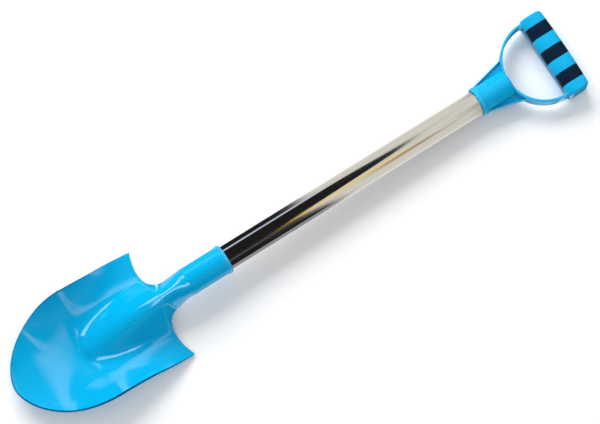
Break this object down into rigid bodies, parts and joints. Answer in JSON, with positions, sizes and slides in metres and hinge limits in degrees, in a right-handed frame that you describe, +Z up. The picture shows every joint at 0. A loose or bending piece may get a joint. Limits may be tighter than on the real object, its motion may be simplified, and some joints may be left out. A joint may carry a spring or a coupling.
{
  "type": "small spade",
  "caption": "Lightweight round-nosed spade for sand and loose soil: moulded plastic blade and D-grip on a thin polished metal tube.",
  "frame": {"origin": "centre of the bounding box's underside: the ground the spade lies on", "axes": "+X along the spade from the blade's tip to the grip, +Z up with the hollow side of the blade facing up, +Y to the left of someone looking from the blade to the grip"},
  "size_m": [0.6494, 0.1236, 0.0409],
  "materials": {
    "blade_plastic": "high gloss, as moulded",
    "polished_tube": "mirror polish",
    "plug_plastic": "plain moulded",
    "screw_steel": "zinc plated",
    "grip_plastic": "satin gloss, as moulded",
    "pad_rubber": "satin soft-touch"
  },
  "bodies": {
    "root": {"blade": "blade_plastic", "shaft_tube": "polished_tube", "lower_tube_plug": "plug_plastic", "upper_tube_plug": "plug_plastic", "lower_fixing_screw": "screw_steel", "upper_fixing_screw": "screw_steel", "grip_handle": "grip_plastic", "grip_pad_left": "pad_rubber", "grip_pad_centre": "pad_rubber", "grip_pad_right": "pad_rubber"}
  },
  "joints": []
}
